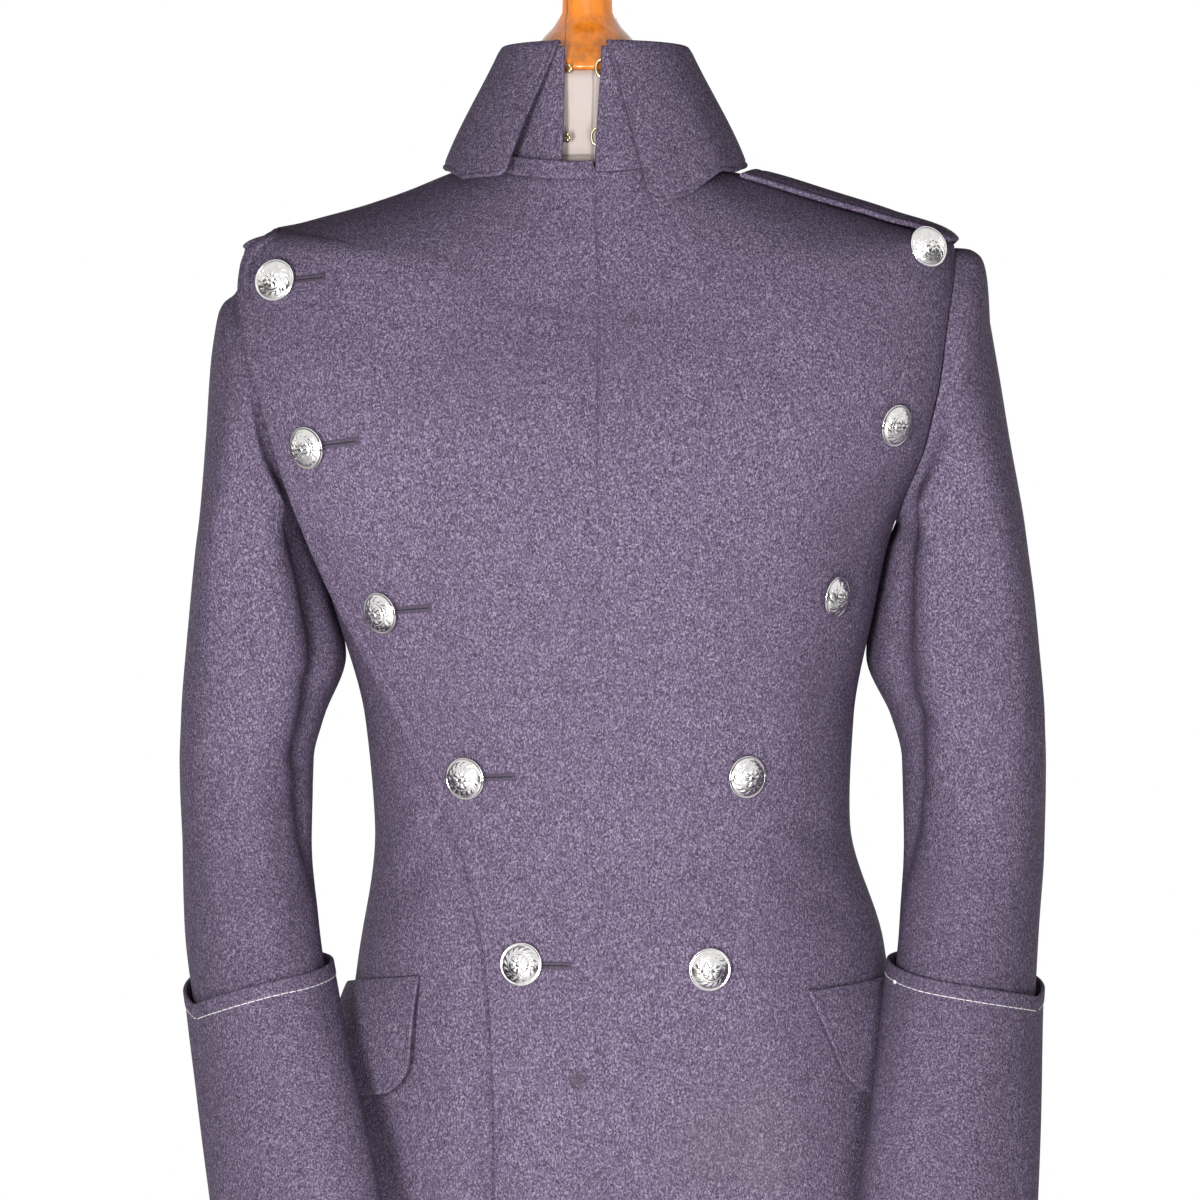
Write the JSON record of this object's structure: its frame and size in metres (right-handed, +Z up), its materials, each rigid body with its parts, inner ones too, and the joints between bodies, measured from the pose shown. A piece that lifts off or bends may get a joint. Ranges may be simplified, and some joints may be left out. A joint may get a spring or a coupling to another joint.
{
  "type": "greatcoat on a dress form",
  "caption": "Long double-breasted wool greatcoat with open stand-and-fall collar, turned-back cuffs, hip flaps and domed metal buttons, on a limbless dress form with a turned wooden stand.",
  "frame": {"origin": "centre of the round base's underside, on the floor", "axes": "+Z up; the wearer faces -Y; +X is the wearer's left, the viewer's right"},
  "size_m": [0.5417, 0.484, 1.6556],
  "materials": {
    "melton": "heathered melton wool, matt",
    "silver": "polished, domed",
    "brass_wire": "pale, lightly worn",
    "calico": "plain cotton, matt",
    "varnished_wood": "turned, varnished"
  },
  "bodies": {
    "root": {"front_left": "melton", "front_right": "melton", "back_left": "melton", "back_right": "melton", "sleeve_left": "melton", "sleeve_right": "melton", "cuff_left": "melton", "cuff_right": "melton", "collar_stand": "melton", "collar_fall": "melton", "shoulder_strap_left": "melton", "shoulder_strap_right": "melton", "pocket_flap_left": "melton", "pocket_flap_right": "melton", "button_left_1": "silver", "button_left_2": "silver", "button_left_3": "silver", "button_left_4": "silver", "button_left_5": "silver", "button_right_1": "silver", "button_right_2": "silver", "button_right_3": "silver", "button_right_4": "silver", "button_right_5": "silver", "hook_top": "brass_wire", "hook_bottom": "brass_wire", "eye_top": "brass_wire", "eye_bottom": "brass_wire", "form_torso": "calico", "form_finial": "varnished_wood", "stand_pole": "varnished_wood", "stand_base": "varnished_wood"}
  },
  "joints": []
}
